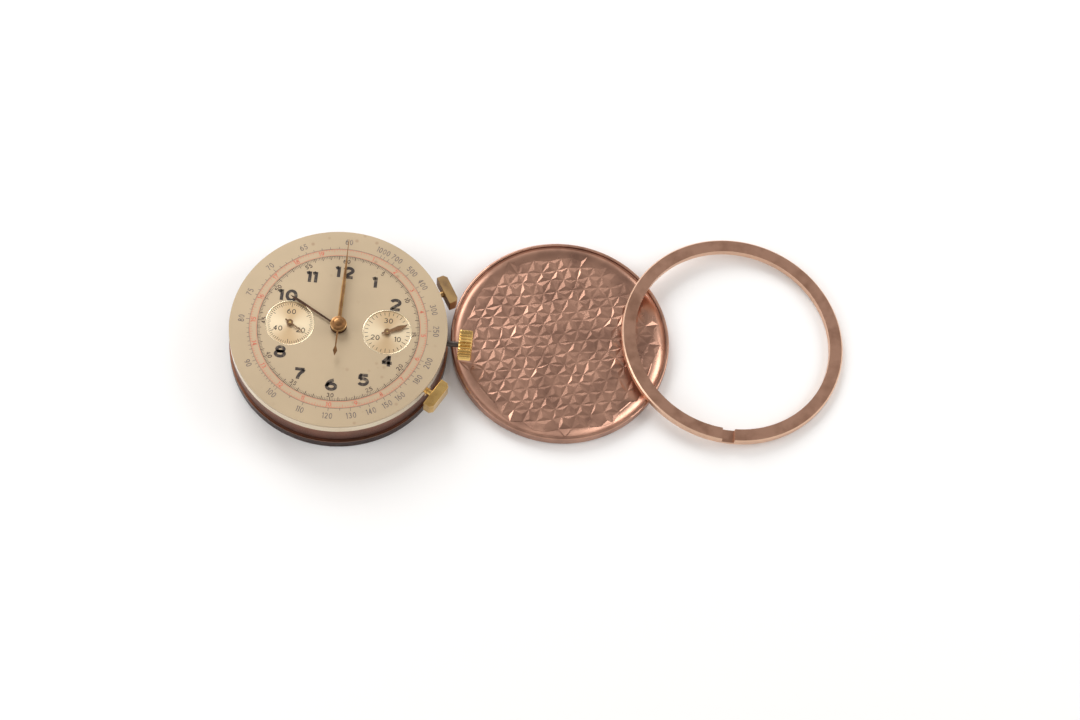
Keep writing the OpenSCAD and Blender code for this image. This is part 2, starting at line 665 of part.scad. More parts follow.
// ---- Motion works and going hands ----
module cannon_pinion() color([0.55, 0.56, 0.6]) difference() {
    union() {
        layer(0.45, 0.7) gear(cannon_leaves, motion_m, gap_towards(cannon_leaves, -60));
        post(centre, 0.7, -1.35, 0.35);
        post(centre, 0.62, 0.3, 0.5);
    }
    post(centre, 0.42 + running, -1.2, 1);
    post(centre, 0.25, -1.5, 1);
}
module minute_wheel() color([0.85, 0.7, 0.38]) difference() {
    union() {
        layer(0.45, 0.65) translate(minute_wheel_at)
            gear(minute_wheel_teeth, motion_m, minute_wheel_phase);
        layer(0.12, 0.45) translate(minute_wheel_at)
            gear(minute_leaves, hour_m, gap_towards(minute_leaves, 120));
    }
    post(minute_wheel_at, 0.2 + running, 0, 1);
}
module hour_wheel() color([0.85, 0.7, 0.38]) difference() {
    union() {
        layer(0.1, 0.3) gear(hour_wheel_teeth, hour_m, tooth_towards(hour_wheel_teeth, -60));
        post(centre, 1, -0.9, 0.2);
    }
    post(centre, 0.7 + running, -1, 1);
}
module setting_wheel() color([0.6, 0.62, 0.66]) layer(0.45, 0.65) translate(setting_at)
    difference() {
        gear(setting_teeth, motion_m, setting_phase);
        circle(0.2 + running);
    }
module transfer_setting_wheel() color([0.6, 0.62, 0.66]) layer(0.45, 0.65)
    translate(transfer_at) difference() {
        gear(transfer_teeth, motion_m, transfer_phase);
        circle(0.2 + running);
    }
// A flat hand that points at an angle clockwise from 12 o'clock
module hand(at, a, bottom, t, points) translate([at.x, at.y, bottom]) rotate(-a)
    linear_extrude(t) polygon(points);
// The outline of a hand from half widths along its length, as [[y, half width], ...]
function outline(sides) = concat([for (s = sides) [s[1], s[0]]],
    [for (i = [len(sides) - 1 : -1 : 0]) [-sides[i][1], sides[i][0]]]);
module hour_hand() color([0.2, 0.13, 0.09]) difference() {
    union() {
        hand(centre, 300, hour_hand_z, 0.14, outline([[0, 0.3], [2, 0.3], [7.5, 0.42], [9.3, 0.1]]));
        translate([0, 0, hour_hand_z]) cylinder(r = 1.3, h = 0.14);
    }
    translate([0, 0, hour_hand_z - over]) cylinder(r = 1, h = 1);
}
module minute_hand() color([0.75, 0.55, 0.28]) difference() {
    union() {
        hand(centre, 0, minute_hand_z, 0.14, outline([[0, 0.3], [6.5, 0.32], [12.3, 0.08]]));
        translate([0, 0, minute_hand_z]) cylinder(r = 1.2, h = 0.14);
    }
    translate([0, 0, minute_hand_z - over]) cylinder(r = 0.7, h = 1);
}
module small_seconds_hand() color([0.35, 0.25, 0.15]) difference() {
    union() {
        hand(fourth_at, 123, face_z + 0.15, 0.1, outline([[-0.9, 0.1], [0, 0.12], [2.4, 0.05]]));
        translate([fourth_at.x, fourth_at.y, face_z + 0.12]) cylinder(r = 0.5, h = 0.18);
    }
    post(fourth_at, 0.2, -1, 0);
}

// ---- Keyless works ----
module stem() color([0.55, 0.55, 0.57]) along_stem([[pilot_x, square_x, pilot_r],
    [square_x, hub_x, square_r], [hub_x, key_groove_x, hub_r],
    [key_groove_x, key_groove_x + key_groove_w, key_groove_r],
    [key_groove_x + key_groove_w, hub_end_x, hub_r], [hub_end_x, crown_x + crown_l / 2, stem_r]]);
module crown() color([0.86, 0.64, 0.3]) translate([crown_x, 0, seat_z - stem_depth])
    rotate([0, 90, 0]) difference() {
        union() {
            linear_extrude(crown_l) gear(crown_ridges, crown_d / (crown_ridges + 1.6));
            cylinder(r = crown_d / 2 - 0.45, h = crown_l + 0.12);
        }
        translate([0, 0, -over]) cylinder(r = stem_r, h = crown_l / 2 + over);
    }
module winding_pinion() color([0.6, 0.62, 0.66]) difference() {
    translate([winding_x, 0, seat_z - stem_depth]) rotate([0, 90, 0])
        linear_extrude(winding_l) gear(winding_leaves, wind_m);
    along_stem([[winding_x - 1, winding_x + 2, hub_r + running]]);
}
module clutch_wheel() color([0.6, 0.62, 0.66]) difference() {
    along_stem([[clutch_x, clutch_groove_x, clutch_r],
        [clutch_groove_x - over, clutch_groove_x + clutch_groove_w + over, 0.7],
        [clutch_groove_x + clutch_groove_w, clutch_x + clutch_l, clutch_r]]);
    along_stem([[clutch_x - 1, clutch_x + clutch_l + 1, square_r + running]]);
    // Radial teeth on the end that meets the setting wheel
    for (i = [0 : 5]) translate([clutch_x - over, 0, seat_z - stem_depth]) rotate([i * 30, 0, 0])
        translate([0, -clutch_r - over, -0.09]) cube([0.25, 2 * clutch_r + 2 * over, 0.18]);
}
module setting_lever() color([0.55, 0.56, 0.6]) {
    difference() {
        layer(0.35, 0.65) {
            bar(lever_pin, setting_lever_at, 0.6);
            bar(setting_lever_at, [12.7, 2.95], 0.5);
            translate(setting_lever_at) circle(0.6);
        }
        post(setting_lever_at, 0.3 + running, 0, 1);
    }
    post(lever_pin, 0.2, 0.6, stem_depth - key_groove_r - 0.05);
}
module yoke() color([0.55, 0.56, 0.6]) difference() {
    layer(0.35, 0.65) {
        bar([yoke_elbow.x, 0.3], yoke_elbow, 0.28);
        bar(yoke_elbow, yoke_at, 0.6);
        translate(yoke_at) circle(0.6);
    }
    post(yoke_at, 0.3 + running, 0, 1);
}

// ---- Chronograph works ----
// A reset heart whose low point faces the direction a
module heart(low, high, a) rotate(a) polygon([for (i = [0 : 47])
    let (t = i * 7.5) polar(low + (high - low) * (1 - abs(1 - t / 180)), t)]);
module chronograph_runner() color([0.85, 0.7, 0.38]) {
    layer(chrono_top, chrono_bottom) spoked(runner_teeth, runner_m, 0.8, 4);
    layer(record_top, record_bottom) bar(centre, polar(finger_r, 150), 0.3);
    layer(lever_top, lever_bottom) heart(0.55, 1.25, 0);
    post(centre, 0.5, bridge_bottom + 0.1, lever_bottom);
    post(centre, long_arbor_r, seat_z - chrono_hand_z - 0.3, cover_bridge_top + 0.25);
}
// A stepped dome carries the long thin hand and its tail
module chronograph_hand() color([0.78, 0.57, 0.3]) difference() {
    union() {
        hand(centre, 0, chrono_hand_z, 0.12, outline([[-5.5, 0.04], [-4.7, 0.34], [-3.9, 0.1],
            [0, 0.16], [14.9, 0.05]]));
        translate([0, 0, chrono_hand_z - 0.1]) rotate_extrude() polygon([[0, 0], [1.2, 0],
            [1.2, 0.3], [0.95, 0.4], [0.85, 0.4], [0.7, 0.62], [0.4, 0.72], [0, 0.74]]);
    }
    translate([0, 0, chrono_hand_z - 0.2]) cylinder(r = long_arbor_r, h = 0.5);
}
module minute_recorder() color([0.85, 0.7, 0.38]) {
    layer(record_top, record_bottom) translate(recorder_at)
        gear(recorder_teeth, recorder_m, tooth_towards(recorder_teeth, 217));
    layer(lever_top, lever_bottom) translate(recorder_at) heart(0.5, 1.3, 0);
    post(recorder_at, 0.4, record_top, lever_bottom);
    post(recorder_at, long_arbor_r, -0.7, cover_bridge_top + 0.25);
}
module minute_counter_hand() color([0.45, 0.32, 0.18]) difference() {
    union() {
        hand(recorder_at, 64.7, face_z + 0.15, 0.1,
            outline([[-0.9, 0.12], [0, 0.12], [1.9, 0.38], [2.5, 0.3], [3.3, 0.04]]));
        translate([recorder_at.x, recorder_at.y, face_z + 0.12]) cylinder(r = 0.5, h = 0.18);
    }
    post(recorder_at, long_arbor_r, -1, 0);
}
module recorder_transfer_wheel() color([0.85, 0.7, 0.38]) layer(record_top, record_bottom)
    translate(recorder_transfer_at) difference() {
        gear(recorder_transfer_teeth, recorder_m, gap_towards(recorder_transfer_teeth, 37));
        circle(0.25 + running);
    }
jumper_nose = recorder_at + polar(recorder_m * recorder_teeth / 2 + 0.35, 50);
module minute_jumper() color([0.5, 0.52, 0.56]) difference() {
    layer(record_top, record_bottom) {
        translate(jumper_at) circle(0.55);
        bar(jumper_at, jumper_nose, 0.26);
    }
    post(jumper_at, 0.3 + running, record_top - over, record_bottom + over);
}
coupling_angle = way(fourth_at, coupling_at);
module coupling_clutch() color([0.6, 0.62, 0.66]) {
    difference() {
        layer(bridge_bottom + 0.15, record_bottom) {
            translate(fourth_at) circle(1.15);
            bar(fourth_at, coupling_at, 0.7);
            translate(coupling_at) circle(0.5);
            bar(coupling_at, clutch_tail, 0.7);
        }
        post(fourth_at, 0.7 + running, bridge_bottom, chrono_top);
    }
    post(coupling_at, 0.25, record_bottom - 0.1, lever_top);
}
module coupling_wheel() color([0.85, 0.7, 0.38]) layer(chrono_top, chrono_bottom)
    translate(coupling_at) difference() {
        gear(coupling_teeth, runner_m, gap_towards(coupling_teeth, coupling_angle + 180));
        circle(0.25 + running);
    }
// A flat lever with a tab that stands up to meet a pusher's stem
module tabbed_lever(at, tab, side) {
    difference() {
        layer(lever_top, lever_bottom) {
            children();
            bar(at, tab, 0.8);
            translate(at) circle(0.85);
        }
        post(at, 0.45 + running, lever_top - over, lever_bottom + over);
    }
    translate([0, 0, seat_z - lever_bottom]) rotate(side * pusher_angle)
        translate([tab_reach - tab_t / 2, -tab_w / 2, 0])
        cube([tab_t, tab_w, lever_bottom - pusher_depth + 0.4]);
}
module operating_lever() color([0.6, 0.62, 0.66]) tabbed_lever(operating_at, start_tab, 1)
    bar(operating_at, [0.5, 11.3], 0.6);
module hammer() color([0.6, 0.62, 0.66]) tabbed_lever(hammer_at, reset_tab, -1) {
    bar(hammer_at, [3.7, -4], 0.9);
    bar([3.7, -4], [2.9, 0.6], 0.6);
    bar(hammer_at, [10.2, -5.2], 0.9);
    bar([10.2, -5.2], [9.9, 0.6], 0.6);
}
module switching_cam() color([0.6, 0.62, 0.66]) difference() {
    union() {
        layer(lever_top, lever_bottom) translate(cam_at) rotate(10) gear(6, 0.5);
        post(cam_at, 1.2, bridge_bottom + 0.1, lever_bottom);
    }
    post(cam_at, 0.4 + running, bridge_bottom, lever_bottom + over);
}

// ---- Pushers, cover and ring ----
module pusher(side) color([0.84, 0.63, 0.32]) pusher_frame(side) {
    translate([tab_reach + tab_t / 2 + 0.05, 0, 0]) rotate([0, 90, 0])
        cylinder(d = pusher_stem_d, h = wall_r + pusher_gap - tab_reach);
    translate([wall_r + pusher_gap, -pusher_w / 2, -pusher_h / 2])
        cube([pusher_l, pusher_w, pusher_h]);
}
module start_pusher() pusher(1);
module reset_pusher() pusher(-1);

// A shallow dish with a rolled rim, made by turning one profile
module dust_cover() color([0.8, 0.48, 0.37]) translate([cover_x, cover_y, 0])
    rotate_extrude($fn = 128) {
        square([cover_r - 0.5, cover_t]);
        translate([cover_r - 0.5, 0]) square([0.2, cover_h]);
        translate([cover_r - 0.5, cover_t / 2]) square([0.5, cover_h - cover_t / 2 - 0.2]);
        translate([cover_r - 0.25, cover_h - 0.25]) circle(0.25);
    }
module casing_ring() color([0.62, 0.4, 0.3]) translate([ring_x + ring_r, ring_y, 0])
    rotate([0, ring_tilt, 0]) translate([-ring_r, 0, 0]) difference() {
        union() {
            linear_extrude(ring_t - 0.2) ring(ring_r, ring_bore_r);
            translate([0, 0, ring_t - 0.2]) rotate_extrude($fn = 128)
                polygon([[ring_bore_r, 0], [ring_r, 0], [ring_r - 0.2, 0.2], [ring_bore_r, 0.2]]);
        }
        translate([-groove_w / 2, -ring_r - over, ring_t - groove_sink])
            cube([groove_w, ring_r - ring_bore_r + 1, groove_sink + over]);
    }

case_band();
dial_ring();
dial();
mainplate();
barrel_bridge();
train_bridge();
balance_cock();
pallet_cock();
chronograph_bridge();
screws();
jewels();
flat_springs();
pusher_tubes();
barrel();
mainspring();
barrel_arbor();
ratchet_wheel();
intermediate_wheel();
crown_wheel();
click();
centre_wheel();
third_wheel();
fourth_wheel();
driving_wheel();
small_seconds_hand();
escape_wheel();
pallet_fork();
balance_wheel();
hairspring();
regulator();
cannon_pinion();
minute_hand();
minute_wheel();
hour_wheel();
hour_hand();
setting_wheel();
transfer_setting_wheel();
winding_pinion();
clutch_wheel();
stem();
crown();
setting_lever();
yoke();
chronograph_runner();
chronograph_hand();
minute_recorder();
minute_counter_hand();
recorder_transfer_wheel();
minute_jumper();
coupling_clutch();
coupling_wheel();
operating_lever();
switching_cam();
hammer();
start_pusher();
reset_pusher();
dust_cover();
casing_ring();
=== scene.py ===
"""Looks of a hand-wound two-register chronograph watch, opened and laid out on the bench.

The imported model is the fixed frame. Its nodes keep their shapes and get their finishes here, and
the dial's printing, the crown, the pushers and the cover's embossed dish are modelled around it.
"""

import json
import math

import bpy
import numpy as np
from mathutils import Matrix, Vector


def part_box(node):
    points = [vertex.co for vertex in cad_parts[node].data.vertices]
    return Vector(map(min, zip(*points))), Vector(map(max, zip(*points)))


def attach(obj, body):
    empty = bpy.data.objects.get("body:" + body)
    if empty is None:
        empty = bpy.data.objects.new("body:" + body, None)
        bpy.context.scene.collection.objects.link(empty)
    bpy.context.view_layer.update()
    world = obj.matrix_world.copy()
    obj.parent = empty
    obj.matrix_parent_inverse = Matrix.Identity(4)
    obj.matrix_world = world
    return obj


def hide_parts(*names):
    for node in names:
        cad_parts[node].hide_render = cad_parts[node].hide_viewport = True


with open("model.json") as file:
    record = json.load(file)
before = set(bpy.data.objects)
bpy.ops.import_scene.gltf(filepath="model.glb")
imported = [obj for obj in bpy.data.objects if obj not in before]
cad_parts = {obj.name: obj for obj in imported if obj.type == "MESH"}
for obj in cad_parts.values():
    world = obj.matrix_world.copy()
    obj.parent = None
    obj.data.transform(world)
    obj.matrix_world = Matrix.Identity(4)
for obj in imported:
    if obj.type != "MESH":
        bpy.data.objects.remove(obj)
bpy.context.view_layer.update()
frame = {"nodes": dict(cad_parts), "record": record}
nodes = frame["nodes"]
MM = 0.001

# ---- Bench, light and camera ----
# A pale sheet of card under the parts and a soft tent round them. Large lamps stand behind and to
# the left, and the side that the viewer stands on is darker, which gives the metal its contrast.
bench_colour = (0.93, 0.925, 0.92, 1)
bench_size = 1.2


def new_material(name):
    """An empty node material with its Principled shader and output, which are returned."""
    material = bpy.data.materials.new(name)
    material.use_nodes = True
    tree = material.node_tree
    shader = tree.nodes["Principled BSDF"]
    return material, tree, shader


def add_node(tree, kind, inputs=None, **settings):
    """Adds a node: settings are its properties, inputs its sockets' values or the links to them."""
    node = tree.nodes.new(kind)
    for key, value in settings.items():
        setattr(node, key, value)
    for key, value in (inputs or {}).items():
        if isinstance(value, bpy.types.NodeSocket):
            tree.links.new(value, node.inputs[key])
        else:
            node.inputs[key].default_value = value
    return node


def mesh_piece(name, vertices, faces, material, body):
    """Makes one object from arrays of points in millimetres and of faces, and rides it on a body."""
    mesh = bpy.data.meshes.new(name)
    points = np.asarray(vertices, float) * MM
    mesh.from_pydata(points.tolist(), [], [list(map(int, f)) for f in faces])
    mesh.validate()
    mesh.materials.append(material)
    piece = bpy.data.objects.new(name, mesh)
    bpy.context.scene.collection.objects.link(piece)
    if body is None:
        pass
    else:
        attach(piece, body)
    return piece


bench_material, tree, shader = new_material("pale_card")
place = add_node(tree, "ShaderNodeTexCoord")
fibre = add_node(tree, "ShaderNodeTexNoise", {"Vector": place.outputs["Object"], "Scale": 900.0})
lift = add_node(tree, "ShaderNodeBump", {"Height": fibre.outputs["Fac"], "Distance": 0.00002})
tree.links.new(lift.outputs["Normal"], shader.inputs["Normal"])
shader.inputs["Base Color"].default_value = bench_colour
shader.inputs["Roughness"].default_value = 0.9
half = bench_size / MM
mesh_piece(
    "bench",
    [[-half, -half, -0.02], [half, -half, -0.02], [half, half, -0.02], [-half, half, -0.02]],
    [[0, 1, 2, 3]],
    bench_material,
    None,
)

world = bpy.data.worlds.new("tent")
bpy.context.scene.world = world
world.use_nodes = True
sky = world.node_tree
direction = add_node(sky, "ShaderNodeTexCoord")
split = add_node(sky, "ShaderNodeSeparateXYZ", {"Vector": direction.outputs["Generated"]})
shade = add_node(sky, "ShaderNodeValToRGB", {"Fac": split.outputs["Z"]})
shade.color_ramp.elements[0].position = 0.35
shade.color_ramp.elements[0].color = (1, 0.99, 0.97, 1)
shade.color_ramp.elements[1].position = 0.9
shade.color_ramp.elements[1].color = (0.42, 0.4, 0.39, 1)
sky.links.new(shade.outputs["Color"], sky.nodes["Background"].inputs["Color"])
sky.nodes["Background"].inputs["Strength"].default_value = 0.95
bpy.context.scene.view_settings.view_transform = "Standard"


def lamp(name, place_mm, aim_mm, size_mm, power):
    """A square area lamp at a place, aimed at a point."""
    data = bpy.data.lights.new(name, "AREA")
    data.size = size_mm * MM
    data.energy = power
    light = bpy.data.objects.new(name, data)
    start = Vector(place_mm) * MM
    light.location = start
    light.rotation_euler = (Vector(aim_mm) * MM - start).to_track_quat("-Z", "Y").to_euler()
    bpy.context.scene.collection.objects.link(light)


lamp("back_lamp", (-160, 330, 300), (30, 0, 0), 260, 1.1)
lamp("left_lamp", (-330, -60, 240), (10, 0, 0), 220, 0.5)
lamp("right_lamp", (330, 60, 200), (40, 0, 0), 180, 0.35)

lens_mm = 80
sensor_mm = 36
camera_data = bpy.data.cameras.new("bench_camera")
camera_data.lens = lens_mm
camera_data.sensor_width = sensor_mm
camera_data.clip_start = 0.01
camera_data.clip_end = 10
camera = bpy.data.objects.new("bench_camera", camera_data)
bpy.context.scene.collection.objects.link(camera)
camera_place = Vector((22.54, -166.75, 342.69)) * MM
camera_elevation = math.radians(63.854)
camera_heading = math.radians(3.198)
camera_roll = math.radians(8.458)
looking = Vector(
    (
        math.cos(camera_elevation) * math.sin(camera_heading),
        math.cos(camera_elevation) * math.cos(camera_heading),
        -math.sin(camera_elevation),
    )
)
turn = looking.to_track_quat("-Z", "Y").to_matrix() @ Matrix.Rotation(camera_roll, 3, "Z")
camera.matrix_world = Matrix.Translation(camera_place) @ turn.to_4x4()
bpy.context.scene.camera = camera

# ---- Case band and polished dial ring ----
# A turned copper band carries the movement. Its colour is set by height: darker at the foot, a
# painted highlight along the top edge of the flange, painted shade in the corner just above it,
# and lighter towards the top. A polished ring lifts the dial clear of it.
band_copper = (0.30, 0.135, 0.085, 1)
band_dark = (0.085, 0.045, 0.035, 1)
band_highlight_line = (0.62, 0.36, 0.24, 1)


def finish_node(name, material):
    """Gives a CAD node one material."""
    mesh = nodes[name].data
    mesh.materials.clear()
    mesh.materials.append(material)


def metal(name, colour, stain, roughness, grain=900.0, depth=0.000004, stain_scale=220.0):
    """A metal whose colour drifts towards a stain in soft patches, and whose roughness and finest
    relief follow a grain. Scales are repeats per metre and depth is in metres."""
    material, tree, shader = new_material(name)
    place = add_node(tree, "ShaderNodeTexCoord").outputs["Object"]
    patches = add_node(
        tree, "ShaderNodeTexNoise", {"Vector": place, "Scale": stain_scale, "Detail": 6.0}
    )
    spread = add_node(
        tree,
        "ShaderNodeMapRange",
        {"Value": patches.outputs["Fac"], "From Min": 0.42, "From Max": 0.68},
    )
    blend = add_node(
        tree,
        "ShaderNodeMix",
        {"Factor": spread.outputs["Result"]},
        data_type="RGBA",
    )
    blend.inputs["A"].default_value = colour
    blend.inputs["B"].default_value = stain
    fine = add_node(tree, "ShaderNodeTexNoise", {"Vector": place, "Scale": grain, "Detail": 4.0})
    rough = add_node(
        tree,
        "ShaderNodeMapRange",
        {"Value": fine.outputs["Fac"], "To Min": roughness * 0.75, "To Max": roughness * 1.25},
    )
    lift = add_node(
        tree, "ShaderNodeBump", {"Height": fine.outputs["Fac"], "Distance": depth, "Strength": 0.6}
    )
    shader.inputs["Metallic"].default_value = 1.0
    tree.links.new(blend.outputs["Result"], shader.inputs["Base Color"])
    tree.links.new(rough.outputs["Result"], shader.inputs["Roughness"])
    tree.links.new(lift.outputs["Normal"], shader.inputs["Normal"])
    return material, tree, shader, place, blend, lift


copper, tree, shader, place, blend, lift = metal(
    "turned_copper", band_copper, band_dark, 0.34, grain=1500.0, stain_scale=350.0
)
height = add_node(tree, "ShaderNodeSeparateXYZ", {"Vector": place}).outputs["Z"]
lines = add_node(tree, "ShaderNodeMath", {0: height, 1: 9000.0}, operation="MULTIPLY")
lines = add_node(tree, "ShaderNodeTexNoise", {"W": lines.outputs[0]}, noise_dimensions="1D")
turned = add_node(
    tree,
    "ShaderNodeBump",
    {"Height": lines.outputs["Fac"], "Distance": 0.00001, "Normal": lift.outputs["Normal"]},
)
tree.links.new(turned.outputs["Normal"], shader.inputs["Normal"])
# Colour by height up the band: darker foot, a painted highlight line, painted shade above it, lighter top
level = add_node(tree, "ShaderNodeMapRange", {"Value": height, "From Max": 0.0052})
bands = add_node(tree, "ShaderNodeValToRGB", {"Fac": level.outputs["Result"]})
ramp = bands.color_ramp
ramp.elements[0].color = band_dark
ramp.elements[1].color = (0.55, 0.28, 0.18, 1)
for position, colour in (
    (0.29, band_dark),
    (0.315, band_highlight_line),
    (0.335, band_highlight_line),
    (0.36, (0.16, 0.08, 0.06, 1)),
    (0.62, band_copper),
    (0.8, (0.4, 0.19, 0.12, 1)),
):
    ramp.elements.new(position).color = colour
tint = add_node(tree, "ShaderNodeMix", data_type="RGBA", blend_type="MULTIPLY")
tint.inputs["Factor"].default_value = 0.55
tree.links.new(bands.outputs["Color"], tint.inputs["A"])
tree.links.new(blend.outputs["Result"], tint.inputs["B"])
tree.links.new(tint.outputs["Result"], shader.inputs["Base Color"])
finish_node("case_band", copper)
finish_node("dial_ring", metal("polished_ring", (0.93, 0.82, 0.62, 1), (0.85, 0.7, 0.5, 1), 0.12)[0])
# ---- Dial ----
# A thin brass disc with a satin champagne lacquer, spotted with age. The two small dials are
# sunk, turned in fine circles, glossier and more metallic than the rest, and their colour is a
# painted sheen, lighter and darker twice round each centre. Each has a bright cut edge.
face_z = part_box("dial")[1].z / MM
register_x = 7.6
register_r = 3.75
register_z = face_z - 0.12
dial_champagne = (0.56, 0.43, 0.275, 1)
dial_shade = (0.43, 0.33, 0.215, 1)
dial_spot = (0.3, 0.17, 0.09, 1)
telemeter_pink = (0.74, 0.36, 0.24, 1)

lacquer, tree, shader = new_material("champagne_dial")
place = add_node(tree, "ShaderNodeTexCoord").outputs["Object"]
cloud = add_node(tree, "ShaderNodeTexNoise", {"Vector": place, "Scale": 110.0, "Detail": 5.0})
base = add_node(tree, "ShaderNodeMix", {"Factor": cloud.outputs["Fac"]}, data_type="RGBA")
base.inputs["A"].default_value = dial_champagne
base.inputs["B"].default_value = dial_shade
spots = add_node(tree, "ShaderNodeTexVoronoi", {"Vector": place, "Scale": 520.0})
spot = add_node(
    tree,
    "ShaderNodeMapRange",
    {"Value": spots.outputs["Distance"], "From Min": 0.07, "From Max": 0.2, "To Min": 0.5, "To Max": 0.0},
)
rare = add_node(tree, "ShaderNodeTexNoise", {"Vector": place, "Scale": 60.0})
where = add_node(
    tree, "ShaderNodeMapRange", {"Value": rare.outputs["Fac"], "From Min": 0.5, "From Max": 0.62}
)
spotted = add_node(
    tree,
    "ShaderNodeMath",
    {0: spot.outputs["Result"], 1: where.outputs["Result"]},
    operation="MULTIPLY",
)
aged = add_node(
    tree,
    "ShaderNodeMix",
    {"Factor": spotted.outputs[0], "A": base.outputs["Result"]},
    data_type="RGBA",
)
aged.inputs["B"].default_value = dial_spot
flat = add_node(tree, "ShaderNodeVectorMath", {0: place, 1: (1, 1, 0)}, operation="MULTIPLY")
radius = add_node(tree, "ShaderNodeVectorMath", {0: flat.outputs[0]}, operation="LENGTH")
track = add_node(tree, "ShaderNodeMapRange", {"Value": radius.outputs["Value"]})
track.inputs["From Min"].default_value = 0.012
track.inputs["From Max"].default_value = 0.0145
pink = add_node(tree, "ShaderNodeValToRGB", {"Fac": track.outputs["Result"]})
pink.color_ramp.elements[0].color = (0, 0, 0, 1)
pink.color_ramp.elements[1].color = (0, 0, 0, 1)
for position, value in ((0.28, 0), (0.31, 0.05), (0.69, 0.05), (0.72, 0)):
    pink.color_ramp.elements.new(position).color = (value, value, value, 1)
banded = add_node(
    tree,
    "ShaderNodeMix",
    {"Factor": pink.outputs["Color"], "A": aged.outputs["Result"]},
    data_type="RGBA",
)
banded.inputs["B"].default_value = telemeter_pink
colour = banded.outputs["Result"]
inside_any = None
for side in (-1, 1):
    centred = add_node(tree, "ShaderNodeMapping", {"Vector": flat.outputs[0]})
    centred.inputs["Location"].default_value = (-side * register_x * MM, 0, 0)
    away = add_node(tree, "ShaderNodeVectorMath", {0: centred.outputs[0]}, operation="LENGTH")
    inside = add_node(
        tree,
        "ShaderNodeMath",
        {0: away.outputs["Value"], 1: register_r * MM * 1.002},
        operation="LESS_THAN",
    )
    # Painted sheen: the colour swings between a darker and a lighter gold twice round each small dial's
    # centre, as light on the turning would
    rays = add_node(
        tree, "ShaderNodeTexGradient", {"Vector": centred.outputs[0]}, gradient_type="RADIAL"
    )
    turns = add_node(
        tree, "ShaderNodeMath", {0: rays.outputs["Fac"], 1: 4 * math.pi}, operation="MULTIPLY"
    )
    sweep = add_node(tree, "ShaderNodeMath", {0: turns.outputs[0]}, operation="COSINE")
    gloss = add_node(
        tree,
        "ShaderNodeMapRange",
        {"Value": sweep.outputs[0], "From Min": -1.0, "To Min": 0.0, "To Max": 1.0},
    )
    register_sheen = add_node(
        tree, "ShaderNodeMix", {"Factor": gloss.outputs["Result"]}, data_type="RGBA"
    )
    register_sheen.inputs["A"].default_value = (0.66, 0.47, 0.27, 1)
    register_sheen.inputs["B"].default_value = (0.92, 0.76, 0.52, 1)
    colour = add_node(
        tree,
        "ShaderNodeMix",
        {"Factor": inside.outputs[0], "A": colour, "B": register_sheen.outputs["Result"]},
        data_type="RGBA",
    ).outputs["Result"]
    if inside_any is None:
        inside_any = inside.outputs[0]
    else:
        inside_any = add_node(
            tree, "ShaderNodeMath", {0: inside_any, 1: inside.outputs[0]}, operation="MAXIMUM"
        ).outputs[0]
tree.links.new(colour, shader.inputs["Base Color"])
satin = add_node(tree, "ShaderNodeMapRange", {"Value": inside_any, "To Min": 0.42, "To Max": 0.3})
tree.links.new(satin.outputs["Result"], shader.inputs["Roughness"])
part_metal = add_node(
    tree, "ShaderNodeMapRange", {"Value": inside_any, "To Min": 0.25, "To Max": 0.65}
)
tree.links.new(part_metal.outputs["Result"], shader.inputs["Metallic"])
skin = add_node(tree, "ShaderNodeTexNoise", {"Vector": place, "Scale": 4000.0, "Detail": 3.0})
lift = add_node(tree, "ShaderNodeBump", {"Height": skin.outputs["Fac"], "Distance": 0.000002})
tree.links.new(lift.outputs["Normal"], shader.inputs["Normal"])
finish_node("dial", lacquer)


def turned_shape(profile, centre, segments):
    """A closed ring about a vertical axis: every point (r, z) of a closed profile is carried
    round a full circle, x = r cos a and y = r sin a. Points run anticlockwise for faces outward."""
    r, z = np.asarray(profile, float).T
    a = np.arange(segments) * 2 * np.pi / segments
    x = centre[0] + np.outer(np.cos(a), r)
    y = centre[1] + np.outer(np.sin(a), r)
    points = np.stack([x, y, np.broadcast_to(z, x.shape)], axis=-1).reshape(-1, 3)
    n = len(r)
    i, j = (g.ravel() for g in np.meshgrid(np.arange(segments), np.arange(n), indexing="ij"))
    i2, j2 = (i + 1) % segments, (j + 1) % n
    faces = np.stack([i * n + j, i2 * n + j, i2 * n + j2, i * n + j2], axis=-1)
    return points, faces


cut_edge = metal("cut_edge", (0.95, 0.84, 0.62, 1), (0.8, 0.66, 0.44, 1), 0.18)[0]
for name, x in (("seconds_dial_edge", -register_x), ("counter_dial_edge", register_x)):
    lip = [(3.72, register_z - 0.005), (3.86, face_z - 0.01), (3.83, face_z + 0.025), (3.74, face_z + 0.03)]
    points, faces = turned_shape(lip, (x, 0), 96)
    edge = mesh_piece(name, points, faces, cut_edge, "head")
    edge.data.shade_smooth()

# ---- Printing on the dial ----
# The scales and numerals are pad printed in dark brown, red and grey ink. Every line is a low
# ribbon of ink along a path, a few hundredths of a millimetre high. Words are left off.
ink_height = 0.014
ink_depth = 0.004
ink_dark = (0.03, 0.018, 0.013, 1)
ink_red = (0.66, 0.13, 0.075, 1)
ink_grey = (0.13, 0.105, 0.1, 1)


def oval(cx, cy, rx, ry, start, end, steps=12):
    """Points along part of an ellipse, from one angle to another in degrees."""
    a = np.radians(np.linspace(start, end, steps + 1))
    return np.stack([cx + rx * np.cos(a), cy + ry * np.sin(a)], axis=-1)


def line(*points):
    """A straight or broken line through the points."""
    return np.array(points, float)


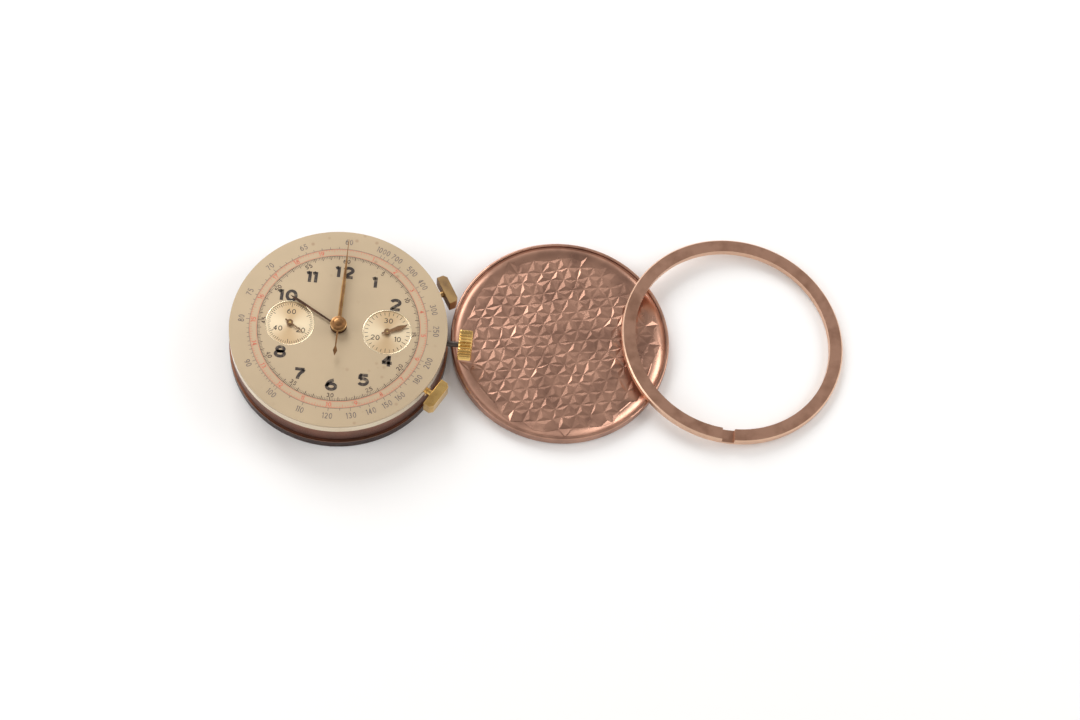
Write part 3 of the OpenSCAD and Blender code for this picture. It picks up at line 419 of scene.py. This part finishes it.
# The strokes of each numeral, in a box from -1 to 1 both ways
digit_strokes = {
    "0": [oval(0, 0, 1, 1, 0, 360, 24)],
    "1": [line((0.15, -1.15), (0.15, 1.15)), line((0.1, 1.0), (-0.6, 0.72))],
    "2": [
        np.vstack([oval(0, 0.45, 0.95, 0.55, 165, -35, 14), line((-0.75, -0.85))]),
        line((-1.1, -1), (1.1, -1)),
    ],
    "3": [oval(-0.05, 0.5, 0.85, 0.5, 150, -90, 12), oval(-0.05, -0.48, 1, 0.52, 90, -150, 14)],
    "4": [
        line((0.4, -1.15), (0.4, 1.1)),
        line((0.4, 0.95), (-0.95, -0.35)),
        line((-1.1, -0.42), (1.1, -0.42)),
    ],
    "5": [
        line((-0.85, 1), (0.95, 1)),
        line((-0.75, 1.1), (-0.82, 0.1)),
        oval(-0.05, -0.36, 1, 0.62, 138, -150, 16),
    ],
    "6": [oval(0, -0.4, 1, 0.6, 0, 360, 20), oval(0.75, -0.4, 1.75, 1.4, 180, 100, 10)],
    "7": [
        line((-1.05, 1), (1.05, 1)),
        np.vstack([line((0.95, 1)), oval(1.6, -1.15, 1.9, 1.9, 118, 178, 8)]),
    ],
    "8": [oval(0, 0.5, 0.8, 0.5, 0, 360, 18), oval(0, -0.46, 1, 0.54, 0, 360, 20)],
    "9": [oval(0, 0.4, 1, 0.6, 0, 360, 20), oval(-0.75, 0.4, 1.75, 1.4, 0, -80, 10)],
}


class Ink:
    """Gathers ribbons of ink that become one mesh."""

    def __init__(self, level):
        self.level = level
        self.points = []
        self.faces = []
        self.count = 0

    def ribbon(self, path, width):
        """A bar of rectangular section along a path: each corner is the path's point moved half a
        width along the line's normal, at the bottom and top of the ink."""
        path = np.asarray(path, float)
        closed = np.allclose(path[0], path[-1])
        if closed:
            path = path[:-1]
            ahead, behind = np.roll(path, -1, 0), np.roll(path, 1, 0)
            along = ahead - behind
        else:
            along = np.gradient(path, axis=0)
        along /= np.linalg.norm(along, axis=1, keepdims=True)
        side = np.stack([-along[:, 1], along[:, 0]], axis=-1) * width / 2
        low, high = self.level - ink_depth, self.level + ink_height
        right, left = path - side, path + side
        n = len(path)
        corners = [(right, low), (right, high), (left, high), (left, low)]
        ring = np.stack([np.column_stack([p, np.full(n, z)]) for p, z in corners], axis=1)
        i, j = (g.ravel() for g in np.meshgrid(np.arange(n if closed else n - 1), np.arange(4)))
        i2, j2 = (i + 1) % n, (j + 1) % 4
        faces = np.stack([i * 4 + j, i2 * 4 + j, i2 * 4 + j2, i * 4 + j2], axis=-1)
        if not closed:
            last = (n - 1) * 4
            faces = np.vstack([faces, [[0, 1, 2, 3], [last + 3, last + 2, last + 1, last]]])
        self.points.append(ring.reshape(-1, 3))
        self.faces.append(faces + self.count)
        self.count += n * 4

    def circle(self, radius, width, centre=(0, 0), steps=180):
        self.ribbon(oval(*centre, radius, radius, 0, 360, steps), width)

    def tick(self, angle, inner, outer, width, centre=(0, 0)):
        """A radial line. Angles run clockwise from 12 o'clock, in degrees."""
        out = np.array([math.sin(math.radians(angle)), math.cos(math.radians(angle))])
        self.ribbon(np.array([out * inner, out * outer]) + centre, width)

    def number(self, text, at, height, width, stroke, turn=0.0, gap=0.35):
        """A number of digits with its middle at a place, turned clockwise by some degrees."""
        text = str(text)
        wide = [width * (0.3 if c == "1" else 1.0) for c in text]
        total = sum(wide) + gap * height * (len(text) - 1) * 0.5
        a = math.radians(turn)
        turned = np.array([[math.cos(a), -math.sin(a)], [math.sin(a), math.cos(a)]])
        x = -total / 2
        for c, w in zip(text, wide):
            half = np.array([max(width - stroke, 0.1), height - stroke]) / 2
            middle = np.array([x + w / 2, 0])
            for path in digit_strokes[c]:
                self.ribbon((path * half + middle) @ turned + at, stroke)
            x += w + gap * height * 0.5

    def piece(self, name, material):
        points, faces = np.vstack(self.points), np.vstack(self.faces)
        return mesh_piece(name, points, faces, material, "head")


def ink(name, colour, fade):
    """Printed ink: even colour that has worn thin in small patches."""
    material, tree, shader = new_material(name)
    place = add_node(tree, "ShaderNodeTexCoord").outputs["Object"]
    worn = add_node(tree, "ShaderNodeTexNoise", {"Vector": place, "Scale": 1800.0, "Detail": 5.0})
    thin = add_node(
        tree,
        "ShaderNodeMapRange",
        {"Value": worn.outputs["Fac"], "From Min": 0.5, "From Max": 0.75, "To Max": fade},
    )
    mix = add_node(tree, "ShaderNodeMix", {"Factor": thin.outputs["Result"]}, data_type="RGBA")
    mix.inputs["A"].default_value = colour
    mix.inputs["B"].default_value = dial_champagne
    tree.links.new(mix.outputs["Result"], shader.inputs["Base Color"])
    lift = add_node(tree, "ShaderNodeBump", {"Height": worn.outputs["Fac"], "Distance": 0.000003})
    tree.links.new(lift.outputs["Normal"], shader.inputs["Normal"])
    shader.inputs["Roughness"].default_value = 0.45
    return material


def around(radius, angle):
    """The point at a radius and at an angle clockwise from 12 o'clock."""
    return np.array([math.sin(math.radians(angle)), math.cos(math.radians(angle))]) * radius


def readable(angle):
    """A numeral's turn that keeps it upright: lower numerals have their feet outwards."""
    return angle + 180 if 95 < angle % 360 < 265 else angle


hours = Ink(face_z)
hour_places = {
    12: (0, 9.75),
    1: (4.8, 8.5),
    2: (8.4, 4.9),
    4: (8.1, -4.95),
    5: (4.8, -8.6),
    6: (0, -9.9),
    7: (-5.1, -8.6),
    8: (-8.5, -5.1),
    10: (-8.4, 4.75),
    11: (-5.1, 8.4),
}
for hour, at in hour_places.items():
    hours.number(hour, at, 2.15, 1.9, 0.52, gap=0.36)
hours.piece("hour_numerals", ink("hour_ink", ink_dark, 0.35))

seconds = Ink(face_z)
seconds_r = 12.6
seconds.circle(seconds_r, 0.07)
for fifth in range(300):
    whole = fifth % 5 == 0
    seconds.tick(fifth * 1.2, seconds_r - (0.6 if whole else 0.4), seconds_r, 0.11 if whole else 0.06)
for minute in range(5, 65, 5):
    angle = minute * 6
    seconds.number(minute, around(11.7, angle), 0.72, 0.5, 0.13, readable(angle))
for x, count, labels in (
    (-register_x, 60, {60: 0, 20: 120, 40: 240}),
    (register_x, 30, {30: 0, 10: 120, 20: 240}),
):
    small = Ink(register_z)
    for i in range(count):
        long = i % (10 if count == 60 else 5) == 0
        middle = i % (5 if count == 60 else 1) == 0
        inner = 3.5 - (0.7 if long else 0.5 if middle else 0.35)
        small.tick(i * 360 / count, inner, 3.5, 0.075, (x, 0))
    for label, angle in labels.items():
        small.number(label, around(2.05, angle) + (x, 0), 0.85, 0.62, 0.12)
    name = "seconds_dial_print" if x < 0 else "counter_dial_print"
    small.piece(name, ink(name + "_ink", ink_dark, 0.3))
seconds.piece("seconds_scale", ink("seconds_ink", (0.075, 0.045, 0.03, 1), 0.5))

telemeter = Ink(face_z)
for radius in (12.75, 13.78):
    telemeter.circle(radius, 0.05)
for tenth in range(200):
    if tenth % 10:
        telemeter.tick(tenth * 1.8, 13.78 - (0.32 if tenth % 5 else 0.5), 13.78, 0.04)
for kilometre in range(1, 20):
    angle = kilometre * 18
    telemeter.number(kilometre, around(13.27, angle), 0.72, 0.5, 0.11, readable(angle))
telemeter.piece("telemeter_scale", ink("red_ink", ink_red, 0.25))

speeds = Ink(face_z)
speeds.circle(13.9, 0.045)
speed_steps = np.concatenate(
    [np.arange(61, 100), np.arange(100, 200, 5), np.arange(200, 400, 25), np.arange(400, 1001, 100)]
)
for speed in speed_steps:
    speeds.tick(360 * 60 / speed, 13.9, 14.45 if speed % 10 == 0 else 14.25, 0.07)
speed_labels = [60, 65, 70, 75, 80, 90, *range(100, 161, 10), 180, 200, 250, 300, 400, 500, 700, 1000]
for speed in speed_labels:
    angle = 360 * 60 / speed
    speeds.number(speed, around(15.2, angle), 0.95, 0.5, 0.11, readable(angle))
speeds.piece("speed_scale", ink("grey_ink", ink_grey, 0.4))


# ---- Hands ----
# The two going hands and the counters' hands are stamped and lacquered, and the long seconds
# hand is gilt, riveted to a turned dome. Years of handling have browned the gilding.
gilt_hand = metal("worn_gilt", (0.60, 0.37, 0.16, 1), (0.33, 0.18, 0.08, 1), 0.3, stain_scale=500.0)[0]
dark_hand = metal("dark_hand", (0.075, 0.042, 0.03, 1), (0.15, 0.08, 0.05, 1), 0.4, stain_scale=500.0)[0]
finish_node("minute_hand", gilt_hand)


def slim_hour_hand():
    """A ridged blade on a flat ring. Across the blade, at each distance d from the centre, the
    section is a triangle: half width w(d) to each side at the bottom and the ridge on top."""
    low, high = (corner.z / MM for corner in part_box("hour_hand"))
    distance = np.array([1.1, 2.0, 5.0, 7.6, 8.6, 9.25])
    half = np.array([0.2, 0.16, 0.2, 0.25, 0.16, 0.03])
    angle = math.radians(300)
    ahead = np.array([math.sin(angle), math.cos(angle)])
    side = np.array([ahead[1], -ahead[0]])
    middle = distance[:, None] * ahead
    ring = np.stack(
        [
            np.column_stack([middle + half[:, None] * side, np.full(6, low + 0.02)]),
            np.column_stack([middle, np.full(6, high)]),
            np.column_stack([middle - half[:, None] * side, np.full(6, low + 0.02)]),
        ],
        axis=1,
    )
    i, j = (g.ravel() for g in np.meshgrid(np.arange(5), np.arange(3), indexing="ij"))
    j2 = (j + 1) % 3
    wall = np.stack([i * 3 + j, i * 3 + j2, (i + 1) * 3 + j2, (i + 1) * 3 + j], -1)
    hub = [(1.02, low), (1.28, low), (1.28, high - 0.03), (1.2, high), (1.02, high)]
    hub_points, hub_faces = turned_shape(hub, (0, 0), 72)
    faces = [*wall[:, ::-1], [0, 1, 2], [17, 16, 15], *(hub_faces + 18)]
    return np.vstack([ring.reshape(-1, 3), hub_points]), faces


points, faces = slim_hour_hand()
hour_blade = mesh_piece("hour_blade", points, faces, dark_hand, "hour")
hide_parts("hour_hand")
counter_hand = metal("counter_hand", (0.26, 0.15, 0.08, 1), (0.12, 0.07, 0.04, 1), 0.35)[0]
bronze = metal("bronze_hand", (0.33, 0.17, 0.07, 1), (0.2, 0.1, 0.045, 1), 0.3, stain_scale=500.0)[0]
finish_node("chronograph_hand", bronze)
finish_node("small_seconds_hand", counter_hand)
finish_node("minute_counter_hand", counter_hand)
collar_profile = [(1.28, 0.0), (1.28, 0.07), (1.16, 0.12), (1.0, 0.1), (0.96, 0.1), (0.96, 0.0)]
collar_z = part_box("chronograph_hand")[0].z / MM + 0.02
points, faces = turned_shape([(r, z + collar_z) for r, z in collar_profile], (0, 0), 72)
collar = mesh_piece("hub_collar", points, faces, gilt_hand, "runner")
collar.data.shade_smooth()

# ---- Crown and pushers ----
# Solid gold-coloured brass. The crown is knurled and rounded at both ends, and the pusher caps
# are cut square with small polished chamfers. The upper cap is painted a darker copy of the gold, as
# painted shade.
crown_low, crown_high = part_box("crown")
crown_r = (crown_high.z - crown_low.z) / 2 / MM
crown_z = (crown_high.z + crown_low.z) / 2 / MM
crown_start = crown_low.x / MM
crown_length = (crown_high.x - crown_low.x) / MM
ridges = 30
ridge_depth = 0.2
gold, tree, shader, place, blend, lift = metal(
    "polished_gold", (0.83, 0.55, 0.2, 1), (0.5, 0.29, 0.09, 1), 0.2, stain_scale=300.0
)
# A darker copy of the same gold for the upper pusher cap: painted shade
shaded_gold = metal(
    "shaded_gold_copy", (0.42, 0.27, 0.12, 1), (0.24, 0.15, 0.08, 1), 0.36, stain_scale=400.0
)[0]


def knurled_crown():
    """Radius r(s, a) = end rounding times (R - depth * |sin(ridges * a / 2)|) over distance s along
    the stem and angle a, with the rounding an ellipse quadrant at each end. The ends are closed."""
    steps = ridges * 8
    a = np.arange(steps) * 2 * np.pi / steps
    s = np.array([0.0, 0.03, 0.12, 0.3, 0.9, 1.5, 1.8, 1.96, 2.04, 2.06]) / 2.06
    fall = np.array([0.86, 0.93, 0.98, 1, 1, 1, 1, 0.97, 0.9, 0.82])
    flat = np.array([0.1, 0.5, 0.9, 1, 1, 1, 1, 0.85, 0.4, 0.05])
    ridge = ridge_depth * np.abs(np.sin(ridges * a / 2))
    r = fall[:, None] * (crown_r - 0.02) - flat[:, None] * ridge
    x = crown_start + 0.02 + s[:, None] * (crown_length - 0.16) + 0 * a
    body = np.stack([x, r * np.cos(a), crown_z + r * np.sin(a)], axis=-1).reshape(-1, 3)
    n = len(s)
    i, j = (g.ravel() for g in np.meshgrid(np.arange(n - 1), np.arange(steps), indexing="ij"))
    j2 = (j + 1) % steps
    faces = np.stack([i * steps + j, i * steps + j2, (i + 1) * steps + j2, (i + 1) * steps + j], -1)
    back = len(body)
    button_x = crown_start + crown_length - 0.05
    ends = np.array([[crown_start, 0, crown_z], [button_x, 0, crown_z]])
    j = np.arange(steps)
    start_fan = np.stack([np.full(steps, back), (j + 1) % steps, j], -1)
    last = (n - 1) * steps
    end_fan = np.stack([np.full(steps, back + 1), last + j, last + (j + 1) % steps], -1)
    return np.vstack([body, ends]), [*faces, *start_fan, *end_fan]


points, faces = knurled_crown()
crown = mesh_piece("knurled_crown", points, faces, gold, "crown_stem")
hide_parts("crown")


pusher_turn = 29.5
pusher_z = 4.7


def pusher_cap(name, node, side, material):
    """A cap and its stem in one mesh: the cap is a block whose outer corners are cut off, given
    by its outline seen from above, and the stem is a round bar along the push direction."""
    angle = math.radians(side * pusher_turn)
    reach, length, width, high = 17.9, 1.6, 5.0, 2.4
    outline = np.array(
        [
            (reach, -width / 2),
            (reach + length - 0.5, -width / 2),
            (reach + length, -width / 2 + 0.55),
            (reach + length, width / 2 - 0.55),
            (reach + length - 0.5, width / 2),
            (reach, width / 2),
        ]
    )
    n = len(outline)
    low = np.column_stack([outline, np.full(n, -high / 2)])
    cap = np.vstack([low, low + (0, 0, high)])
    j = np.arange(n)
    sides = np.stack([j, (j + 1) % n, (j + 1) % n + n, j + n], -1)
    cap_faces = [*sides, list(range(n))[::-1], list(range(n, 2 * n))]
    steps = 32
    a = np.arange(steps) * 2 * np.pi / steps
    rings = [(13.35, 0.42), (13.43, 0.5), (17.95, 0.5)]
    bar = np.vstack([np.column_stack([np.full(steps, x), r * np.cos(a), r * np.sin(a)]) for x, r in rings])
    first = len(cap)
    i, j = (g.ravel() for g in np.meshgrid(np.arange(len(rings) - 1), np.arange(steps), indexing="ij"))
    j2 = (j + 1) % steps
    wall = first + np.stack([i * steps + j, i * steps + j2, (i + 1) * steps + j2, (i + 1) * steps + j], -1)
    ends = [first + np.arange(steps)[::-1], first + (len(rings) - 1) * steps + np.arange(steps)]
    points = np.vstack([cap, bar])
    c, s = math.cos(angle), math.sin(angle)
    points = points @ np.array([[c, s, 0], [-s, c, 0], [0, 0, 1]]) + (0, 0, pusher_z)
    piece = mesh_piece(name, points, [*cap_faces, *wall, *ends], material, node)
    cut = piece.modifiers.new("chamfer", "BEVEL")
    cut.width = 0.00014
    cut.segments = 2
    cut.limit_method = "ANGLE"
    cut.angle_limit = math.radians(30)
    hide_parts(node)
    return piece


pusher_cap("start_pusher_cap", "start_pusher", 1, shaded_gold)
pusher_cap("reset_pusher_cap", "reset_pusher", -1, gold)
finish_node("pusher_tubes", gold)

# ---- Dust cover ----
# Spun rose copper, inside up. Its floor is embossed with rows of small three-sided pyramids that
# meet in six-rayed stars, and a smooth polished cove runs up from it to the rolled rim.
rose, tree, shader, place, blend, lift = metal(
    "rose_copper", (0.53, 0.30, 0.215, 1), (0.36, 0.20, 0.145, 1), 0.3, grain=1200.0, stain_scale=260.0
)
finish_node("dust_cover", rose)
cover_low, cover_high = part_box("dust_cover")
cover_x = (cover_low.x + cover_high.x) / 2 / MM
cover_y = (cover_low.y + cover_high.y) / 2 / MM
floor_z = 0.45
cell = 2.15
emboss = 0.085
emboss_r = 16.5
cove_start = 14.82
cove_r = 2.0
cove_h = 0.95


def cove_rise(r):
    """Height above the floor of a quarter ellipse that starts at cove_start, cove_r wide."""
    across = np.clip((np.asarray(r) - cove_start) / cove_r, 0, 1)
    return cove_h * (1 - np.sqrt(1 - across**2))


def star_embossing():
    """Pyramids on a triangular grid: nodes at i * u + j * v, with u along x and v at 60 degrees to
    it, lie on the floor or the cove, and each triangle's middle is raised. Nodes and tops wander, as
    hand rolling leaves them. Only triangles whose nodes lie within emboss_r are kept."""
    rng = np.random.default_rng(8)
    reach = int(emboss_r / cell / 0.86) + 3
    i, j = np.meshgrid(np.arange(-reach, reach + 1), np.arange(-reach, reach + 1), indexing="ij")
    grid = np.stack([(i + 0.5 * j) * cell, j * cell * math.sqrt(3) / 2], axis=-1)
    grid = grid + rng.uniform(-0.34, 0.34, grid.shape)
    turn = math.radians(12)
    grid = grid @ np.array([[math.cos(turn), math.sin(turn)], [-math.sin(turn), math.cos(turn)]])
    number = np.arange(i.size).reshape(i.shape)
    a, b = number[:-1, :-1].ravel(), number[1:, :-1].ravel()
    c, d = number[:-1, 1:].ravel(), number[1:, 1:].ravel()
    triangles = np.vstack([np.stack([a, b, c], -1), np.stack([b, d, c], -1)])
    flat = grid.reshape(-1, 2)
    inside = (np.linalg.norm(flat[triangles], axis=2) < emboss_r).all(axis=1)
    triangles = triangles[inside]
    used, triangles = np.unique(triangles, return_inverse=True)
    triangles = triangles.reshape(-1, 3)
    flat = flat[used]
    middle = flat[triangles].mean(axis=1) + rng.uniform(-0.3, 0.3, (len(triangles), 2))
    tops = emboss * rng.uniform(0.35, 1.0, len(triangles))
    tops = tops * np.clip((emboss_r - np.linalg.norm(middle, axis=1)) / 2.2, 0.15, 1)
    level = floor_z + 0.035
    points = np.vstack(
        [
            np.column_stack([flat, level + cove_rise(np.linalg.norm(flat, axis=1))]),
            np.column_stack([middle, level + cove_rise(np.linalg.norm(middle, axis=1)) + tops]),
        ]
    )
    top = len(flat) + np.arange(len(triangles))
    facets = [np.stack([triangles[:, k], triangles[:, (k + 1) % 3], top], -1) for k in range(3)]
    return points + (cover_x, cover_y, 0), np.vstack(facets)


points, faces = star_embossing()
stars = mesh_piece("cover_embossing", points, faces, rose, "dust_cover")
wall = stars.modifiers.new("sheet", "SOLIDIFY")
wall.thickness = 0.00002
wall.offset = -1
a = np.radians(np.linspace(0, 90, 13))
cove = np.column_stack([cove_start + cove_r * np.sin(a), floor_z + 0.012 + cove_h * (1 - np.cos(a))])
cove = [*cove, (16.86, floor_z + cove_h), (16.86, floor_z - 0.02), (cove_start, floor_z - 0.02)]
points, faces = turned_shape(cove[::-1], (cover_x, cover_y), 160)
smooth_cove = mesh_piece("cover_cove", points, faces, rose, "dust_cover")
smooth_cove.data.shade_smooth()

# ---- Casing ring ----
# A flat ring turned from brown copper, with a key groove at 6 o'clock. Its top is dull, and the
# chamfer round its outer edge and every other face that tilts away from the top get a painted highlight.
brown, tree, shader, place, blend, lift = metal(
    "brown_copper", (0.47, 0.27, 0.19, 1), (0.34, 0.185, 0.125, 1), 0.4, grain=2600.0, stain_scale=420.0
)
facing = add_node(tree, "ShaderNodeTexCoord").outputs["Normal"]
upward = add_node(tree, "ShaderNodeSeparateXYZ", {"Vector": facing}).outputs["Z"]
# Painted highlight: faces tilted away from straight up are mixed towards a light copper
tilted_face_highlight = add_node(
    tree,
    "ShaderNodeMapRange",
    {"Value": upward, "From Min": 0.9, "From Max": 0.97, "To Min": 0.75, "To Max": 0.0},
)
edge = add_node(tree, "ShaderNodeMix", {"Factor": tilted_face_highlight.outputs["Result"]}, data_type="RGBA")
tree.links.new(blend.outputs["Result"], edge.inputs["A"])
edge.inputs["B"].default_value = (0.85, 0.58, 0.42, 1)
tree.links.new(edge.outputs["Result"], shader.inputs["Base Color"])
finish_node("casing_ring", brown)

# ---- Movement ----
# Gilt plates and bridges with overlapping ground circles, brass wheels, blued and polished
# steel, and rubies. It shows from below and through the gaps.
plate, tree, shader, place, blend, lift = metal(
    "gilt_plate", (0.70, 0.52, 0.28, 1), (0.55, 0.38, 0.19, 1), 0.3
)
circles = add_node(tree, "ShaderNodeTexVoronoi", {"Vector": place, "Scale": 850.0, "Randomness": 0.25})
rings = add_node(tree, "ShaderNodeMath", {0: circles.outputs["Distance"], 1: 60.0}, operation="MULTIPLY")
waves = add_node(tree, "ShaderNodeMath", {0: rings.outputs[0]}, operation="SINE")
ground = add_node(
    tree,
    "ShaderNodeBump",
    {"Height": waves.outputs[0], "Distance": 0.000004, "Normal": lift.outputs["Normal"]},
)
tree.links.new(ground.outputs["Normal"], shader.inputs["Normal"])
for part in frame["record"]["subparts"]:
    if part["material_slot"] == "gilt_plate":
        finish_node(part["node"], plate)
brass = metal("wheel_brass", (0.80, 0.58, 0.25, 1), (0.6, 0.4, 0.15, 1), 0.24)[0]
steel = metal("polished_steel", (0.56, 0.57, 0.59, 1), (0.4, 0.4, 0.42, 1), 0.16)[0]
blued = metal("blued_steel", (0.07, 0.11, 0.3, 1), (0.1, 0.1, 0.2, 1), 0.22)[0]
for material_slot, material in (
    ("wheel_brass", brass),
    ("balance_brass", brass),
    ("polished_steel", steel),
):
    for part in frame["record"]["subparts"]:
        if part["material_slot"] == material_slot:
            finish_node(part["node"], material)
# The stem gets a near-black steel: painted shade of the dark gap between band and crown
shaded_stem_steel = metal("stem_shade_steel", (0.12, 0.1, 0.09, 1), (0.06, 0.05, 0.045, 1), 0.4)[0]
finish_node("stem", shaded_stem_steel)
finish_node("cannon_pinion", gilt_hand)
ruby, tree, shader = new_material("ruby")
place = add_node(tree, "ShaderNodeTexCoord").outputs["Object"]
veil = add_node(tree, "ShaderNodeTexNoise", {"Vector": place, "Scale": 2000.0})
tone = add_node(tree, "ShaderNodeMix", {"Factor": veil.outputs["Fac"]}, data_type="RGBA")
tone.inputs["A"].default_value = (0.55, 0.01, 0.06, 1)
tone.inputs["B"].default_value = (0.8, 0.06, 0.16, 1)
tree.links.new(tone.outputs["Result"], shader.inputs["Base Color"])
shader.inputs["Roughness"].default_value = 0.06
shader.inputs["Coat Weight"].default_value = 0.6
finish_node("jewels", ruby)
for name in ("screws", "flat_springs", "hairspring", "mainspring"):
    finish_node(name, blued)
